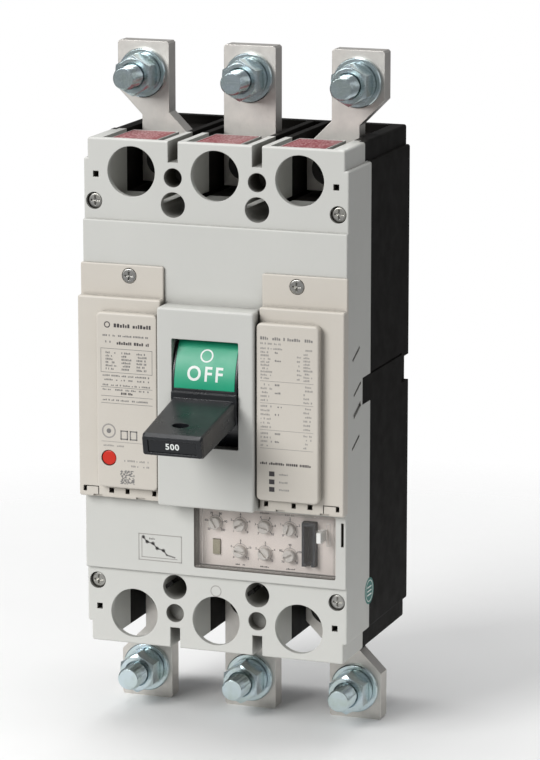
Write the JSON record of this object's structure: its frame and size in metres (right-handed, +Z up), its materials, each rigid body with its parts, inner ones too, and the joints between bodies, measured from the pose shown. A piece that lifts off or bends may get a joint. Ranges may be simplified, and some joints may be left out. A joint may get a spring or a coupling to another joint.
{
  "type": "moulded case circuit breaker",
  "caption": "Moulded case circuit breaker with toggle handle, electronic trip settings under a clear cover, and stepped terminal bars with bolts at top and bottom.",
  "frame": {"origin": "centre of the mounting plane, midway between the panel mounting holes", "axes": "+Z up along the poles, +X to the right, the front faces -Y"},
  "size_m": [0.1414, 0.1559, 0.342],
  "materials": {
    "base_black": "moulded thermoset, fine satin",
    "cover_grey": "fine moulded satin",
    "lid_beige": "fine moulded satin",
    "screw_zinc": "zinc plated",
    "handle_black": "semi-gloss",
    "plate_black": "semi-gloss",
    "flag_green": "semi-gloss",
    "flag_red": "semi-gloss",
    "frame_steel": "zinc plated",
    "bolt_zinc": "bright zinc plated",
    "socket_black": "black oxide",
    "shaft_brown": "moulded thermoset",
    "spring_steel": "bright",
    "tin_plate": "tin plated, satin",
    "copper": "bare copper",
    "arc_steel": "plain",
    "fibre": "vulcanised fibre",
    "pin_steel": "ground",
    "ct_black": "moulded",
    "button_red": "semi-gloss",
    "unit_grey": "moulded",
    "board_green": "solder resist",
    "face_grey": "printed satin",
    "dial_grey": "moulded",
    "connector_slate": "moulded",
    "window_dark": "gloss",
    "post_white": "gloss",
    "clear": "clear polycarbonate"
  },
  "bodies": {
    "casing": {"base": "base_black", "front_cover": "cover_grey", "left_accessory_cover": "lid_beige", "right_accessory_cover": "lid_beige", "cover_screws": "screw_zinc", "accessory_cover_screws": "screw_zinc", "terminal_bolts": "bolt_zinc", "terminal_flat_washers": "bolt_zinc", "terminal_spring_washers": "bolt_zinc", "terminal_nuts": "bolt_zinc", "bar_fixing_screws": "socket_black", "line_bar_left": "tin_plate", "line_bar_centre": "tin_plate", "line_bar_right": "tin_plate", "load_bar_left": "tin_plate", "load_bar_centre": "tin_plate", "load_bar_right": "tin_plate", "fixed_contacts": "copper", "load_conductors": "copper", "flexible_shunts": "copper", "current_transformers": "ct_black", "arc_plates_left": "arc_steel", "arc_plates_centre": "arc_steel", "arc_plates_right": "arc_steel", "arc_chute_walls": "fibre", "mechanism_frame": "frame_steel", "mechanism_pins": "pin_steel", "trip_actuator": "ct_black", "trip_button_spring": "spring_steel", "trip_unit_case": "unit_grey", "circuit_board": "board_green", "setting_faceplate": "face_grey", "test_connector": "connector_slate", "indicator_window": "window_dark", "seal_post": "post_white"},
    "handle": {"handle": "handle_black", "rating_plate": "plate_black", "off_flag": "flag_green", "on_flag": "flag_red", "handle_yoke": "frame_steel"},
    "main_springs": {"main_springs": "spring_steel"},
    "contact_shaft": {"crossbar": "shaft_brown", "contact_springs": "spring_steel", "moving_contact_left": "copper", "moving_contact_centre": "copper", "moving_contact_right": "copper"},
    "cradle": {"cradle": "frame_steel"},
    "upper_links": {"upper_links": "frame_steel"},
    "lower_links": {"lower_links": "frame_steel"},
    "trip_bar": {"trip_bar": "shaft_brown"},
    "trip_button": {"trip_button": "button_red"},
    "actuator_plunger": {"actuator_plunger": "pin_steel"},
    "setting_cover": {"setting_cover": "clear"},
    "dial_rated_current": {"dial_rated_current": "dial_grey"},
    "dial_long_time": {"dial_long_time": "dial_grey"},
    "dial_short_pickup": {"dial_short_pickup": "dial_grey"},
    "dial_short_time": {"dial_short_time": "dial_grey"},
    "dial_instantaneous": {"dial_instantaneous": "dial_grey"},
    "dial_ground_fault": {"dial_ground_fault": "dial_grey"},
    "dial_pre_alarm": {"dial_pre_alarm": "dial_grey"}
  },
  "joints": [
    {"name": "handle_toggle", "type": "hinge", "parent": "casing", "child": "handle", "pos_m": [0, -0.068, 0.0064], "axis": [-1, 0, 0], "range_deg": [-8, 35]},
    {"name": "contact_shaft_turn", "type": "hinge", "parent": "casing", "child": "contact_shaft", "pos_m": [0, -0.034, -0.014], "axis": [-1, 0, 0], "range_deg": [-6.91, 30.05]},
    {"name": "upper_link_pivot", "type": "hinge", "parent": "cradle", "child": "upper_links", "pos_m": [0, -0.06, 0.014], "axis": [-1, 0, 0], "range_deg": [-63.95, 14.66]},
    {"name": "lower_link_pivot", "type": "hinge", "parent": "contact_shaft", "child": "lower_links", "pos_m": [0, -0.04318, -0.00089], "axis": [-1, 0, 0], "range_deg": [-0.76, 3.14]},
    {"name": "main_spring_hook", "type": "hinge", "parent": "handle", "child": "main_springs", "pos_m": [0, -0.10039, 0.0001], "axis": [-1, 0, 0], "range_deg": [-24.63, 5.67]},
    {"name": "cradle_release", "type": "hinge", "parent": "casing", "child": "cradle", "pos_m": [0, -0.066, 0.034], "axis": [-1, 0, 0], "range_deg": [0, 8]},
    {"name": "trip_bar_turn", "type": "hinge", "parent": "casing", "child": "trip_bar", "pos_m": [0, -0.066, -0.044], "axis": [-1, 0, 0], "range_deg": [0, 10.3]},
    {"name": "trip_button_push", "type": "slide", "parent": "casing", "child": "trip_button", "axis": [0, 1, 0], "range_m": [0, 0.0025], "stiffness_N_per_m": 300, "springref_m": -0.0005},
    {"name": "actuator_plunger_strike", "type": "slide", "parent": "casing", "child": "actuator_plunger", "axis": [0, 0, 1], "range_m": [0, 0.0028]},
    {"name": "setting_cover_hinge", "type": "hinge", "parent": "casing", "child": "setting_cover", "pos_m": [-0.0095, -0.09715, -0.0692], "axis": [0, 0, -1], "range_deg": [0, 100]},
    {"name": "dial_rated_current_turn", "type": "hinge", "parent": "casing", "child": "dial_rated_current", "pos_m": [-0.0018, -0.093, -0.0629], "axis": [0, -1, 0], "range_deg": [-165, 105]},
    {"name": "dial_long_time_turn", "type": "hinge", "parent": "casing", "child": "dial_long_time", "pos_m": [0.0113, -0.093, -0.0629], "axis": [0, -1, 0], "range_deg": [-75, 195]},
    {"name": "dial_short_pickup_turn", "type": "hinge", "parent": "casing", "child": "dial_short_pickup", "pos_m": [0.0244, -0.093, -0.0629], "axis": [0, -1, 0], "range_deg": [-210, 60]},
    {"name": "dial_short_time_turn", "type": "hinge", "parent": "casing", "child": "dial_short_time", "pos_m": [0.0375, -0.093, -0.0629], "axis": [0, -1, 0], "range_deg": [-115, 155]},
    {"name": "dial_instantaneous_turn", "type": "hinge", "parent": "casing", "child": "dial_instantaneous", "pos_m": [0.0113, -0.093, -0.0764], "axis": [0, -1, 0], "range_deg": [-35, 235]},
    {"name": "dial_ground_fault_turn", "type": "hinge", "parent": "casing", "child": "dial_ground_fault", "pos_m": [0.0244, -0.093, -0.0764], "axis": [0, -1, 0], "range_deg": [-180, 90]},
    {"name": "dial_pre_alarm_turn", "type": "hinge", "parent": "casing", "child": "dial_pre_alarm", "pos_m": [0.0375, -0.093, -0.0764], "axis": [0, -1, 0], "range_deg": [-255, 15]}
  ],
  "couplings": [
    {"joint": "contact_shaft_turn", "follows": "handle_toggle", "ratio": 0.85714},
    {"joint": "upper_link_pivot", "follows": "handle_toggle", "ratio": -1.8257},
    {"joint": "lower_link_pivot", "follows": "handle_toggle", "ratio": 0.088225},
    {"joint": "main_spring_hook", "follows": "handle_toggle", "ratio": -0.70229},
    {"joint": "trip_bar_turn", "follows": "trip_button_push", "rad_per_m": 71.4}
  ]
}
